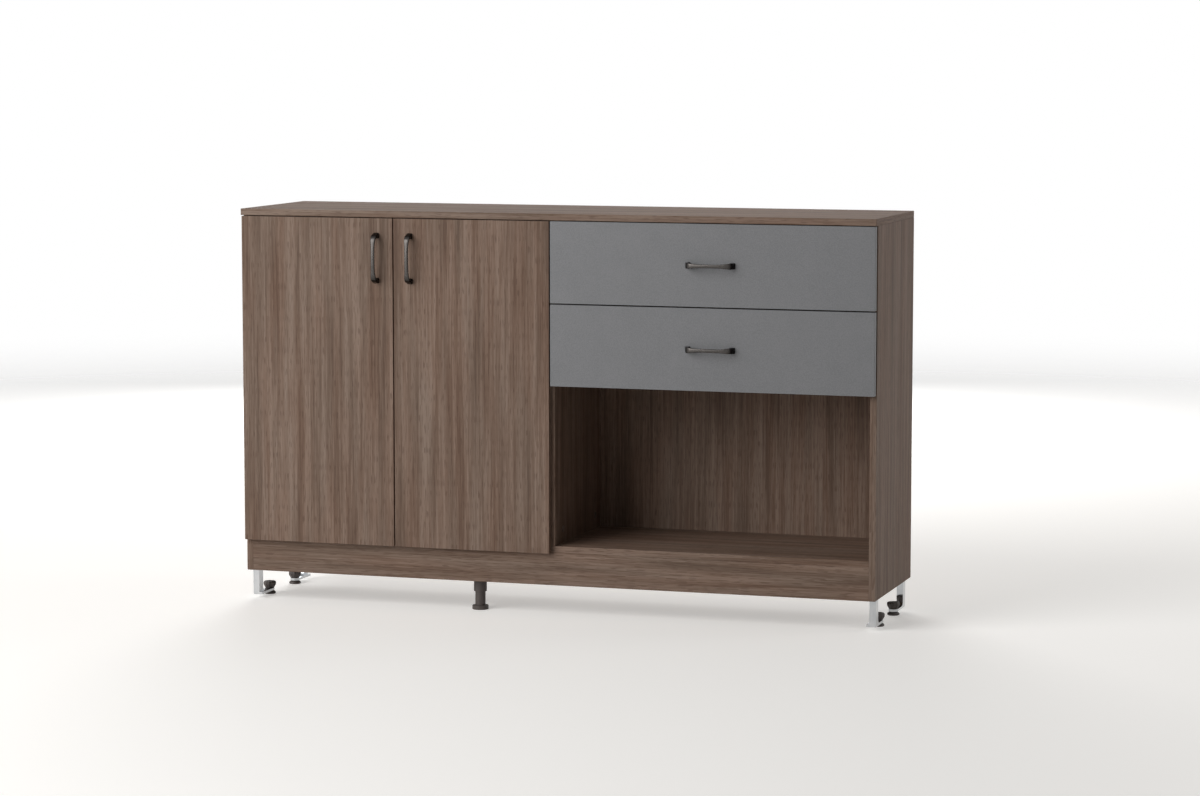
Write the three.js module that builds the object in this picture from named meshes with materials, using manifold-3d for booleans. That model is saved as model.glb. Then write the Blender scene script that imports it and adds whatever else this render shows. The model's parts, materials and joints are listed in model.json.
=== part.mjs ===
// Office credenza: two doors, two drawers and an open compartment on chrome feet.
// Millimetres, +X right, +Y to the back, +Z up, origin on the floor under the middle of the whole.
import * as THREE from "three";
import { mergeVertices } from "three/addons/utils/BufferGeometryUtils.js";
import Module from "manifold-3d";

const wasm = await Module();
wasm.setup();

// Carcass
const cabinetWidth = 1600;
const cabinetDepth = 400; // from the door faces to the rear edges
const bodyHeight = 900; // from the bottom edges of the sides to the top face
const boardThickness = 16;
const plinthHeight = 80;
const partitionOffset = 0; // of the partition's middle from the cabinet's middle
const backThickness = 5;
const backInset = 15; // from the rear edges to the rear of the back panel
const backGrooveDepth = 7;
const fitClearance = 0.3; // left round a piece that sits in a groove or a hole

// Fronts
const frontThickness = 16;
const frontStandOff = 2; // from the carcass edges to the rear of the fronts
const frontGap = 3; // between two fronts
const frontReveal = 2; // from a front's edge to the end of the carcass
const doorDrop = 1; // of the doors below the top of the plinth
const compartmentHeight = 392; // clear height of the open compartment

// Drawer boxes
const boxBoardThickness = 12;
const boxRise = 25; // from the lower edge of the front to the lower edge of the box
const boxHeadroom = 31.5; // from the upper edge of the box to the upper edge of the front
const boxRearClearance = 14;
const boxBottomThickness = 5;
const boxBottomRise = 10; // from the lower edge of the box to the underside of its bottom
const boxGrooveDepth = 6;

// Telescopic slides
const slideLength = 300;
const slideThickness = 12.7;
const slideHeight = 45;
const slideSheet = 1.2;
const slideRunningGap = 0.4; // between a member and the next one
const slideSetback = 2; // behind the carcass edges
const slideBend = 1.6; // inner bend radius of the sheet
const slideLip = 3.7; // of the outer members short of the full thickness

// Concealed hinges
const hingeInset = 100; // from the door's upper and lower edge to the middle of a hinge
const pivotInset = 5; // of the mean pivot axis from the door's edge
const pivotDepth = 4; // of the mean pivot axis behind the door's face
const cupDiameter = 35;
const cupDepth = 11.5;
const cupWall = 1.2;
const cupEdgeDistance = 5; // from the door's edge to the bore
const cupFlangeThickness = 1.2;
const cupFlangeLength = 58;
const cupFlangeWidth = 22;
const armWidth = 14;
const armNoseReach = 8; // of the arm's nose into the cup
const armNoseOffset = 15; // from the pivot axis to the near side of the nose
const armDepth = 8;
const armLength = 62; // behind the carcass edge
const plateSetback = 22; // from the carcass edge to the mounting plate
const plateLength = 52;
const plateHeight = 34;
const plateThickness = 5;

// Adjustable shelf
const shelfRise = 384; // from the cupboard's floor to the shelf's underside
const shelfFrontSetback = 20;
const shelfEndClearance = 1.5;
const pinDiameter = 5;
const pinInsertion = 9;
const pinReach = 10;
const pinPaddleWidth = 8;
const pinPaddleThickness = 4;
const pinSetback = 50; // of a row of holes from the shelf's front and rear edge
const pinPitch = 32;
const pinHolesPerRow = 5;

// Bow handles
const handleLength = 126;
const handleProjection = 27;
const handleWidth = 10; // of the bar
const handleFootWidth = 15; // the bar widens towards its feet
const handleFlareStart = 24; // from the handle's middle to where it begins to widen
const handleThickness = 6;
const handleFootLength = 15;
const handleLean = 9; // how far a leg leans in on its way up
const handleShoulder = 11; // run of the rounded shoulder
const handleCrown = 1.5; // rise of the bar from its shoulders to its middle
const handleRounding = 1;
const doorHandleInset = 42; // from the door's meeting edge to the handle's middle
const doorHandleDrop = 34; // from the door's upper edge to the handle's end

// Corner legs and levelling feet
const legHeight = 75; // from the floor to the bottom edges of the sides
const legInset = 4; // from the outer face of the side
const legSetback = 11; // from the plinth rail
const legBladeDepth = 24;
const legTabThickness = 4;
const legTabHeight = 52;
const legToeWidth = 24;
const legToeThickness = 6;
const legCorner = 12; // inner radius between blade and toe
const levellerOffset = 75; // from the outer edge of the blade to the middle of the foot
const studDiameter = 8;
const glideDiameter = 30;
const glideThickness = 9;
const knobDiameter = 32;
const knobBaseDiameter = 22;
const knobHeight = 17;
const knobCrown = 3;

// Support foot under the middle
const supportOffset = -200; // from the cabinet's middle
const supportSetback = 28; // behind the plinth rail
const supportFlangeDiameter = 52;
const supportFlangeThickness = 3;
const supportTubeDiameter = 32;
const supportTubeWall = 3;
const supportTubeClearance = 45; // from the floor to the tube's lower end
const supportStemLength = 70;
const supportBaseDiameter = 40;
const supportBaseThickness = 10;

// Facets
const roundSegments = 32;
const smallSegments = 16;
const bendSegments = 3;
const weldDistance = 1e-3;

// Planes worked out from the sizes above
const leftX = -cabinetWidth / 2;
const rightX = cabinetWidth / 2;
const frontY = handleProjection - (cabinetDepth + handleProjection) / 2;
const rearY = frontY + cabinetDepth;
const frontBackY = frontY + frontThickness;
const carcassY = frontBackY + frontStandOff;
const backRearY = rearY - backInset;
const backFrontY = backRearY - backThickness;
const frontRailY = [carcassY, carcassY + boardThickness];
const rearRailY = [backRearY - boardThickness, backRearY];
const sideZ = legHeight;
const topZ = legHeight + bodyHeight;
const topUndersideZ = topZ - boardThickness;
const plinthTopZ = sideZ + plinthHeight;
const floorPanelTopZ = plinthTopZ + boardThickness;
const leftInnerX = leftX + boardThickness;
const rightInnerX = rightX - boardThickness;
const partitionLeftX = partitionOffset - boardThickness / 2;
const partitionRightX = partitionOffset + boardThickness / 2;
const bayFloorUndersideZ = floorPanelTopZ + compartmentHeight;
const bayFloorTopZ = bayFloorUndersideZ + boardThickness;
const frontTopZ = topUndersideZ - frontReveal;
const doorBottomZ = plinthTopZ - doorDrop;
const drawerBottomZ = bayFloorUndersideZ - frontReveal;
const drawerFrontHeight = (frontTopZ - drawerBottomZ - frontGap) / 2;
const fit = 2 * fitClearance;

const walnut = new THREE.MeshStandardMaterial({ color: "#85736a", roughness: 0.55, metalness: 0 });
const greyBoard = new THREE.MeshStandardMaterial({ color: "#77777a", roughness: 0.5, metalness: 0 });
const boxBoard = new THREE.MeshStandardMaterial({ color: "#b4b1ac", roughness: 0.6, metalness: 0 });
const gunmetal = new THREE.MeshStandardMaterial({ color: "#4a4644", roughness: 0.25, metalness: 1 });
const chrome = new THREE.MeshStandardMaterial({ color: "#d3d5d6", roughness: 0.08, metalness: 1 });
const zincSteel = new THREE.MeshStandardMaterial({ color: "#b5b8ba", roughness: 0.35, metalness: 1 });
const nickel = new THREE.MeshStandardMaterial({ color: "#c4c1b9", roughness: 0.25, metalness: 1 });
const blackPlastic = new THREE.MeshStandardMaterial({ color: "#1c1c1d", roughness: 0.55, metalness: 0 });

const axisX = new THREE.Vector3(1, 0, 0);
const axisY = new THREE.Vector3(0, 1, 0);
const axisZ = new THREE.Vector3(0, 0, 1);
const ascending = (a, b) => a - b;

// A closed geometry as a solid that can be cut and joined, and a solid as a geometry again.
function toSolid(geometry) {
  const bare = new THREE.BufferGeometry();
  bare.setAttribute("position", geometry.getAttribute("position"));
  bare.setIndex(geometry.getIndex());
  const welded = mergeVertices(bare, weldDistance);
  const vertProperties = welded.getAttribute("position").array;
  const triVerts = new Uint32Array(welded.getIndex().array);
  return new wasm.Manifold(new wasm.Mesh({ numProp: 3, vertProperties, triVerts }));
}

function toGeometry(solid) {
  const mesh = solid.getMesh();
  const geometry = new THREE.BufferGeometry();
  geometry.setAttribute("position", new THREE.BufferAttribute(mesh.vertProperties, 3));
  geometry.setIndex(new THREE.BufferAttribute(mesh.triVerts, 1));
  geometry.computeVertexNormals();
  return geometry;
}

function cut(geometry, ...tools) {
  const cutAway = (solid, tool) => solid.subtract(toSolid(tool));
  return toGeometry(tools.reduce(cutAway, toSolid(geometry)));
}

function join(geometry, ...others) {
  const addOn = (solid, other) => solid.add(toSolid(other));
  return toGeometry(others.reduce(addOn, toSolid(geometry)));
}

// A board or a cutting block between two planes on each axis.
function block([x0, x1], [y0, y1], [z0, z1]) {
  const geometry = new THREE.BoxGeometry(x1 - x0, y1 - y0, z1 - z0);
  return geometry.translate((x0 + x1) / 2, (y0 + y1) / 2, (z0 + z1) / 2);
}

// A profile drawn in Y and Z, extruded from x0 to x1.
function extrudeX(shape, x0, x1) {
  const geometry = new THREE.ExtrudeGeometry(shape, { depth: x1 - x0, bevelEnabled: false });
  geometry.applyMatrix4(new THREE.Matrix4().makeBasis(axisY, axisZ, axisX));
  return geometry.translate(x0, 0, 0);
}

// A profile drawn in X and Z, extruded from y0 to y1.
function extrudeY(shape, y0, y1) {
  const settings = { depth: y1 - y0, bevelEnabled: false, curveSegments: bendSegments };
  const geometry = new THREE.ExtrudeGeometry(shape, settings);
  geometry.applyMatrix4(new THREE.Matrix4().makeBasis(axisX, axisZ, axisY.clone().negate()));
  return geometry.translate(0, y1, 0);
}

// A round piece: pairs of radius and height, turned about the Z axis.
function turn(profile, segments) {
  const points = profile.map(([radius, height]) => new THREE.Vector2(radius, height));
  return new THREE.LatheGeometry(points, segments).rotateX(Math.PI / 2);
}

function rod(diameter, z0, z1, segments) {
  const radius = diameter / 2;
  return turn([[0, z0], [radius, z0], [radius, z1], [0, z1]], segments);
}

function add(group, name, geometry, material) {
  const mesh = new THREE.Mesh(geometry, material);
  mesh.name = name;
  group.add(mesh);
  return mesh;
}

// Carcass boards
const backGrooveY = [backFrontY - fitClearance, backRearY + fitClearance];
const shelfUndersideZ = floorPanelTopZ + shelfRise;
const shelfY = [carcassY + shelfFrontSetback, backFrontY - shelfEndClearance];
const pinRowsY = [shelfY[0] + pinSetback, shelfY[1] - pinSetback];
const usedPinHole = Math.floor(pinHolesPerRow / 2);

// Holes of both shelf pin rows, bored from a board's face at faceX in the direction given.
function pinHoles(faceX, direction) {
  const holes = [];
  for (const y of pinRowsY) {
    for (let i = 0; i < pinHolesPerRow; i += 1) {
      const z = shelfUndersideZ + (i - usedPinHole) * pinPitch;
      const hole = rod(pinDiameter + fit, -fit, pinInsertion + fitClearance, smallSegments);
      holes.push(hole.rotateY((direction * Math.PI) / 2).translate(faceX, y, z));
    }
  }
  return holes;
}

function sideGroove(innerX, direction) {
  const ends = [innerX - direction * fit, innerX + direction * backGrooveDepth];
  return block(ends.sort(ascending), backGrooveY, [sideZ - fit, topUndersideZ + fit]);
}

function makeCarcass() {
  const carcass = new THREE.Group();
  const sideYRange = [carcassY, rearY];
  const sideZRange = [sideZ, topUndersideZ];
  const inside = [carcassY, backFrontY];
  const between = [leftInnerX, rightInnerX];
  const grooved = [leftInnerX - backGrooveDepth, rightInnerX + backGrooveDepth];

  const top = block([leftX, rightX], [frontY, rearY], [topUndersideZ, topZ]);
  const topGroove = block(grooved, backGrooveY, [topUndersideZ - fit, topUndersideZ + backGrooveDepth]);
  add(carcass, "top_panel", cut(top, topGroove), walnut);

  const leftSide = block([leftX, leftInnerX], sideYRange, sideZRange);
  const leftCuts = [sideGroove(leftInnerX, -1), ...pinHoles(leftInnerX, -1)];
  add(carcass, "left_side_panel", cut(leftSide, ...leftCuts), walnut);

  const rightSide = block([rightInnerX, rightX], sideYRange, sideZRange);
  add(carcass, "right_side_panel", cut(rightSide, sideGroove(rightInnerX, 1)), walnut);

  const partition = block([partitionLeftX, partitionRightX], inside, [floorPanelTopZ, topUndersideZ]);
  add(carcass, "partition_panel", cut(partition, ...pinHoles(partitionLeftX, 1)), walnut);

  add(carcass, "bottom_panel", block(between, inside, [plinthTopZ, floorPanelTopZ]), walnut);
  const bayFloor = block([partitionRightX, rightInnerX], inside, [bayFloorUndersideZ, bayFloorTopZ]);
  add(carcass, "drawer_bay_floor_panel", bayFloor, walnut);

  const railZ = [sideZ, plinthTopZ];
  add(carcass, "front_plinth_rail", block(between, frontRailY, railZ), walnut);
  add(carcass, "rear_plinth_rail", block(between, rearRailY, railZ), walnut);

  const backX = [grooved[0] + fitClearance, grooved[1] - fitClearance];
  const backZ = [plinthTopZ, topUndersideZ + backGrooveDepth - fitClearance];
  add(carcass, "back_panel", block(backX, [backFrontY, backRearY], backZ), walnut);
  return carcass;
}

// A shelf pin along +X: a round shank in the board and a flat paddle under the shelf.
function pinGeometry() {
  const shank = rod(pinDiameter, -pinInsertion, shelfEndClearance / 2, smallSegments).rotateY(Math.PI / 2);
  const halfWidth = pinPaddleWidth / 2;
  const paddle = block([fitClearance, pinReach], [-halfWidth, halfWidth], [-pinPaddleThickness, 0]);
  return join(shank, paddle);
}

function makeShelf() {
  const shelf = new THREE.Group();
  const shelfX = [leftInnerX + shelfEndClearance, partitionLeftX - shelfEndClearance];
  const shelfZ = [shelfUndersideZ, shelfUndersideZ + boardThickness];
  add(shelf, "adjustable_shelf", block(shelfX, shelfY, shelfZ), walnut);
  const ends = [["front", pinRowsY[0]], ["rear", pinRowsY[1]]];
  for (const [end, y] of ends) {
    const left = add(shelf, `left_${end}_shelf_pin`, pinGeometry(), nickel);
    left.position.set(leftInnerX, y, shelfUndersideZ);
    const right = add(shelf, `right_${end}_shelf_pin`, pinGeometry(), nickel);
    right.position.set(partitionLeftX, y, shelfUndersideZ);
    right.rotation.z = Math.PI;
  }
  return shelf;
}

// A bow handle along X, standing out to -Y from the face it is screwed to.
function handleGeometry() {
  const end = handleLength / 2;
  const barHeight = handleProjection - handleCrown;
  const innerHeight = barHeight - handleThickness;
  const shoulderX = end - handleLean - handleShoulder;
  const innerFoot = end - handleFootLength;
  const innerShoulderX = shoulderX - handleThickness / 2;
  const outline = new THREE.Shape();
  outline.moveTo(-end, 0);
  outline.quadraticCurveTo(-end + handleLean, barHeight, -shoulderX, barHeight);
  outline.quadraticCurveTo(0, handleProjection + handleCrown, shoulderX, barHeight);
  outline.quadraticCurveTo(end - handleLean, barHeight, end, 0);
  outline.lineTo(innerFoot, 0);
  outline.quadraticCurveTo(innerFoot - handleLean / 2, innerHeight, innerShoulderX, innerHeight);
  outline.quadraticCurveTo(0, innerHeight + 2 * handleCrown, -innerShoulderX, innerHeight);
  outline.quadraticCurveTo(-innerFoot + handleLean / 2, innerHeight, -innerFoot, 0);
  outline.closePath();
  const geometry = new THREE.ExtrudeGeometry(outline, {
    depth: handleWidth - 2 * handleRounding,
    curveSegments: 8,
    bevelThickness: handleRounding,
    bevelSize: handleRounding,
    bevelOffset: -handleRounding,
    bevelSegments: 2,
  });
  const outward = axisY.clone().negate();
  geometry.applyMatrix4(new THREE.Matrix4().makeBasis(axisX, outward, axisZ.clone().negate()));
  geometry.translate(0, 0, handleWidth / 2 - handleRounding);
  const points = geometry.getAttribute("position");
  for (let i = 0; i < points.count; i += 1) {
    const share = THREE.MathUtils.smoothstep(Math.abs(points.getX(i)), handleFlareStart, end);
    points.setZ(i, points.getZ(i) * (1 + (handleFootWidth / handleWidth - 1) * share));
  }
  return geometry;
}

// Hinge cup about its own axis along Y: the pot sinks to -Y and its flange lies at +Y of the origin.
function cupGeometry() {
  const outer = cupDiameter / 2;
  const inner = outer - cupWall;
  const profile = [
    [0, -cupDepth],
    [outer, -cupDepth],
    [outer, cupFlangeThickness],
    [inner, cupFlangeThickness],
    [inner, cupWall - cupDepth],
    [0, cupWall - cupDepth],
  ];
  const pot = turn(profile, roundSegments).rotateX(-Math.PI / 2);
  const round = cupFlangeWidth / 2;
  const straight = cupFlangeLength / 2 - round;
  const plate = new THREE.Shape();
  plate.moveTo(round, -straight);
  plate.lineTo(round, straight);
  plate.absarc(0, straight, round, 0, Math.PI);
  plate.lineTo(-round, -straight);
  plate.absarc(0, -straight, round, Math.PI, 2 * Math.PI);
  const flange = extrudeY(plate, 0, cupFlangeThickness);
  const mouth = rod(2 * inner, -cupFlangeThickness, 2 * cupFlangeThickness, roundSegments);
  return join(pot, cut(flange, mouth.rotateX(-Math.PI / 2)));
}

// Hinge arm for a board face at faceX: a mounting plate on the board and an arm with its nose in the cup.
// The inward direction points from the board into the cupboard.
function armGeometry(faceX, pivotX, inward) {
  const x = (distance) => faceX + inward * distance;
  const y = (distance) => carcassY + distance;
  const near = inward * (pivotX - faceX) + armNoseOffset;
  const far = near + armDepth;
  const noseY = -frontStandOff - armNoseReach;
  const seat = plateThickness;
  const arm = new THREE.Shape();
  arm.moveTo(x(near), y(noseY));
  arm.lineTo(x(far), y(noseY));
  arm.lineTo(x(far), y(plateSetback));
  arm.lineTo(x(seat + armDepth), y(plateSetback + armDepth));
  arm.lineTo(x(seat + armDepth), y(armLength));
  arm.lineTo(x(0), y(armLength));
  arm.lineTo(x(0), y(plateSetback));
  arm.lineTo(x(near), y(plateSetback - armDepth));
  arm.closePath();
  const settings = { depth: armWidth, bevelEnabled: false };
  const bent = new THREE.ExtrudeGeometry(arm, settings).translate(0, 0, -armWidth / 2);
  const plateX = [x(0), x(seat)].sort(ascending);
  const plateY = [y(plateSetback), y(plateSetback + plateLength)];
  return join(bent, block(plateX, plateY, [-plateHeight / 2, plateHeight / 2]));
}

// A door hung at its outer edge, in a group that stands on the hinge axis.
function makeDoor(name, x0, x1, hingeEdge, boardFaceX) {
  const door = new THREE.Group();
  const hingeX = hingeEdge < 0 ? x0 : x1;
  const inward = -hingeEdge;
  const pivotX = hingeX + inward * pivotInset;
  const pivotY = frontY + pivotDepth;
  door.position.set(pivotX, pivotY, 0);
  const cupX = hingeX + inward * (cupEdgeDistance + cupDiameter / 2);
  const hingeLevels = [["lower", doorBottomZ + hingeInset], ["upper", frontTopZ - hingeInset]];

  const leaf = block([x0, x1], [frontY, frontBackY], [doorBottomZ, frontTopZ]);
  const bores = hingeLevels.map(([, z]) => {
    const bore = rod(cupDiameter + fit, -cupDepth - fitClearance, fit, roundSegments);
    return bore.rotateX(-Math.PI / 2).translate(cupX, frontBackY, z);
  });
  const leafMesh = add(door, `${name}_door`, cut(leaf, ...bores), walnut);
  leafMesh.position.set(-pivotX, -pivotY, 0);

  const handle = add(door, `${name}_door_handle`, handleGeometry(), gunmetal);
  const meetingX = hingeEdge < 0 ? x1 : x0;
  const handleX = meetingX - inward * doorHandleInset;
  const handleZ = frontTopZ - doorHandleDrop - handleLength / 2;
  handle.rotation.y = Math.PI / 2;
  handle.position.set(handleX - pivotX, frontY - pivotY, handleZ);

  const arms = new THREE.Group();
  for (const [level, z] of hingeLevels) {
    const cup = add(door, `${name}_door_${level}_hinge_cup`, cupGeometry(), nickel);
    cup.position.set(cupX - pivotX, frontBackY - pivotY, z);
    const arm = armGeometry(boardFaceX, pivotX, inward);
    add(arms, `${name}_door_${level}_hinge_arm`, arm, nickel).position.z = z;
  }
  return [door, arms];
}

// A channel of bent sheet with its web at x0 and its open side towards x1, drawn in X and Z.
function channelShape(x0, x1, height) {
  const out = Math.sign(x1 - x0);
  const half = height / 2;
  const web = x0 + out * slideSheet;
  const outerBend = slideBend + slideSheet;
  const shape = new THREE.Shape();
  shape.moveTo(x1, half);
  shape.lineTo(x0 + out * outerBend, half);
  shape.quadraticCurveTo(x0, half, x0, half - outerBend);
  shape.lineTo(x0, outerBend - half);
  shape.quadraticCurveTo(x0, -half, x0 + out * outerBend, -half);
  shape.lineTo(x1, -half);
  shape.lineTo(x1, slideSheet - half);
  shape.lineTo(web + out * slideBend, slideSheet - half);
  shape.quadraticCurveTo(web, slideSheet - half, web, outerBend - half);
  shape.lineTo(web, half - outerBend);
  shape.quadraticCurveTo(web, half - slideSheet, web + out * slideBend, half - slideSheet);
  shape.lineTo(x1, half - slideSheet);
  shape.closePath();
  return shape;
}

// Slide members for the space from a carcass wall at wallX to the drawer, opening inward.
function slideMembers(wallX, inward) {
  const at = (distance) => wallX + inward * distance;
  const step = slideSheet + slideRunningGap;
  const outerReach = slideThickness - slideLip;
  const middleReach = slideThickness - slideSheet - slideRunningGap;
  const slideY = [carcassY + slideSetback, carcassY + slideSetback + slideLength];
  const member = (x0, x1, height) => extrudeY(channelShape(x0, x1, height), ...slideY);
  return {
    cabinet: member(at(0), at(outerReach), slideHeight),
    middle: member(at(step), at(middleReach), slideHeight - 2 * step),
    drawer: member(at(slideThickness), at(2 * step + slideBend), slideHeight - 4 * step),
  };
}

// A drawer with its box, handle and slides; z0 is the lower edge of its front.
function makeDrawer(name, z0) {
  const drawer = new THREE.Group();
  const frontX = [partitionOffset + frontGap / 2, rightX - frontReveal];
  const boxX = [partitionRightX + slideThickness, rightInnerX - slideThickness];
  const boxY = [frontBackY, backFrontY - boxRearClearance];
  const boxZ = [z0 + boxRise, z0 + drawerFrontHeight - boxHeadroom];
  const bottomZ = [boxZ[0] + boxBottomRise, boxZ[0] + boxBottomRise + boxBottomThickness];
  const innerX = [boxX[0] + boxBoardThickness, boxX[1] - boxBoardThickness];
  const groove = block(
    [innerX[0] - boxGrooveDepth, innerX[1] + boxGrooveDepth],
    [boxY[0] - boxGrooveDepth, boxY[1] + fit],
    [bottomZ[0] - fitClearance, bottomZ[1] + fitClearance],
  );

  const front = block(frontX, [frontY, frontBackY], [z0, z0 + drawerFrontHeight]);
  add(drawer, `${name}_drawer_front`, cut(front, groove), greyBoard);
  const leftSide = block([boxX[0], innerX[0]], boxY, boxZ);
  add(drawer, `${name}_drawer_left_side`, cut(leftSide, groove), boxBoard);
  const rightSide = block([innerX[1], boxX[1]], boxY, boxZ);
  add(drawer, `${name}_drawer_right_side`, cut(rightSide, groove), boxBoard);
  const bottom = block(
    [innerX[0] - boxGrooveDepth + fitClearance, innerX[1] + boxGrooveDepth - fitClearance],
    [boxY[0] - boxGrooveDepth + fitClearance, boxY[1]],
    bottomZ,
  );
  add(drawer, `${name}_drawer_bottom`, bottom, boxBoard);
  const back = block(innerX, [boxY[1] - boxBoardThickness, boxY[1]], [bottomZ[1], boxZ[1]]);
  add(drawer, `${name}_drawer_back`, back, boxBoard);

  const handle = add(drawer, `${name}_drawer_handle`, handleGeometry(), gunmetal);
  handle.position.set((frontX[0] + frontX[1]) / 2, frontY, z0 + drawerFrontHeight / 2);

  const slideZ = (boxZ[0] + boxZ[1]) / 2;
  const walls = [["left", partitionRightX, 1], ["right", rightInnerX, -1]];
  for (const [side, wallX, inward] of walls) {
    for (const [member, geometry] of Object.entries(slideMembers(wallX, inward))) {
      const mesh = add(drawer, `${name}_${side}_slide_${member}_member`, geometry, zincSteel);
      mesh.position.z = slideZ;
    }
  }
  return drawer;
}

// A corner leg: a blade under the side panel, a tab that is screwed to the side's inner face,
// and a round-ended toe to the inside with a hole for the levelling foot.
function legGeometry(sideX, sideY) {
  const toeZ = [glideThickness + fitClearance, glideThickness + fitClearance + legToeThickness];
  const edgeY = sideY < 0 ? frontRailY[1] + legSetback : rearRailY[0] - legSetback;
  const y = (distance) => edgeY - sideY * distance;
  const x = (distance) => sideX * (cabinetWidth / 2 - distance);
  const innerFace = boardThickness + legTabThickness;
  const footX = x(legInset + legToeWidth / 2);
  const footY = y(levellerOffset);

  const profile = new THREE.Shape();
  profile.moveTo(y(0), toeZ[0]);
  profile.lineTo(y(legBladeDepth + legCorner), toeZ[0]);
  profile.lineTo(y(legBladeDepth + legCorner), toeZ[1]);
  profile.quadraticCurveTo(y(legBladeDepth), toeZ[1], y(legBladeDepth), toeZ[1] + legCorner);
  profile.lineTo(y(legBladeDepth), sideZ);
  profile.lineTo(y(0), sideZ);
  profile.closePath();
  const blade = extrudeX(profile, ...[x(legInset), x(innerFace)].sort(ascending));
  const bladeY = [y(0), y(legBladeDepth)].sort(ascending);
  const tab = block([x(boardThickness), x(innerFace)].sort(ascending), bladeY, [toeZ[1], sideZ + legTabHeight]);
  const toeX = [x(legInset), x(legInset + legToeWidth)].sort(ascending);
  const toe = block(toeX, [y(0), footY].sort(ascending), toeZ);
  const toeEnd = rod(legToeWidth, ...toeZ, roundSegments).translate(footX, footY, 0);
  const hole = rod(studDiameter + fit, toeZ[0] - fit, toeZ[1] + fit, smallSegments);
  const leg = cut(join(blade, tab, toe, toeEnd), hole.translate(footX, footY, 0));
  return { leg, footX, footY };
}

// A levelling foot: glide on the floor, stud through the toe and a knob to turn it by.
function levellerGeometry() {
  const stud = studDiameter / 2;
  const knobZ = glideThickness + fit + legToeThickness;
  const profile = [
    [0, 0],
    [glideDiameter / 2 - fit, 0],
    [glideDiameter / 2, fit],
    [glideDiameter / 2, glideThickness / 2],
    [studDiameter, glideThickness],
    [stud, glideThickness],
    [stud, knobZ],
    [knobBaseDiameter / 2, knobZ],
    [knobDiameter / 2, knobZ + knobHeight / 2],
    [knobDiameter / 2, knobZ + knobHeight - knobCrown],
    [knobDiameter / 2 - knobCrown, knobZ + knobHeight],
    [0, knobZ + knobHeight],
  ];
  return turn(profile, roundSegments);
}

function makeLegs() {
  const legs = new THREE.Group();
  for (const [depthName, sideY] of [["front", -1], ["rear", 1]]) {
    for (const [widthName, sideX] of [["left", -1], ["right", 1]]) {
      const { leg, footX, footY } = legGeometry(sideX, sideY);
      add(legs, `${depthName}_${widthName}_leg`, leg, chrome);
      const foot = add(legs, `${depthName}_${widthName}_leveller`, levellerGeometry(), blackPlastic);
      foot.position.set(footX, footY, 0);
    }
  }
  return legs;
}

// The support under the middle: a flanged tube screwed to the bottom panel and a foot turned into it.
function makeSupport() {
  const support = new THREE.Group();
  support.position.set(supportOffset, frontRailY[1] + supportSetback, 0);
  const outer = supportTubeDiameter / 2;
  const inner = outer - supportTubeWall;
  const flange = supportFlangeDiameter / 2;
  const flangeZ = plinthTopZ - supportFlangeThickness;
  const socket = [
    [0, plinthTopZ],
    [0, flangeZ],
    [inner, flangeZ],
    [inner, supportTubeClearance],
    [outer, supportTubeClearance],
    [outer, flangeZ],
    [flange, flangeZ],
    [flange, plinthTopZ],
    [0, plinthTopZ],
  ];
  add(support, "middle_support_socket", turn(socket, roundSegments), blackPlastic);
  const stem = inner - fitClearance;
  const base = supportBaseDiameter / 2;
  const foot = [
    [0, 0],
    [base, 0],
    [base, supportBaseThickness],
    [stem, supportBaseThickness],
    [stem, supportBaseThickness + supportStemLength],
    [0, supportBaseThickness + supportStemLength],
  ];
  add(support, "middle_support_foot", turn(foot, roundSegments), blackPlastic);
  return support;
}

const doorSplitX = (leftX + partitionOffset) / 2;
const halfGap = frontGap / 2;
const credenza = new THREE.Group();
credenza.add(makeCarcass());
credenza.add(makeShelf());
credenza.add(...makeDoor("left", leftX + frontReveal, doorSplitX - halfGap, -1, leftInnerX));
credenza.add(...makeDoor("right", doorSplitX + halfGap, partitionOffset - halfGap, 1, partitionLeftX));
credenza.add(makeDrawer("lower", drawerBottomZ));
credenza.add(makeDrawer("upper", drawerBottomZ + drawerFrontHeight + frontGap));
credenza.add(makeLegs());
credenza.add(makeSupport());

export default credenza;
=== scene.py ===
import json
import math

import bmesh
import bpy
from mathutils import Matrix, Vector

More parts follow.
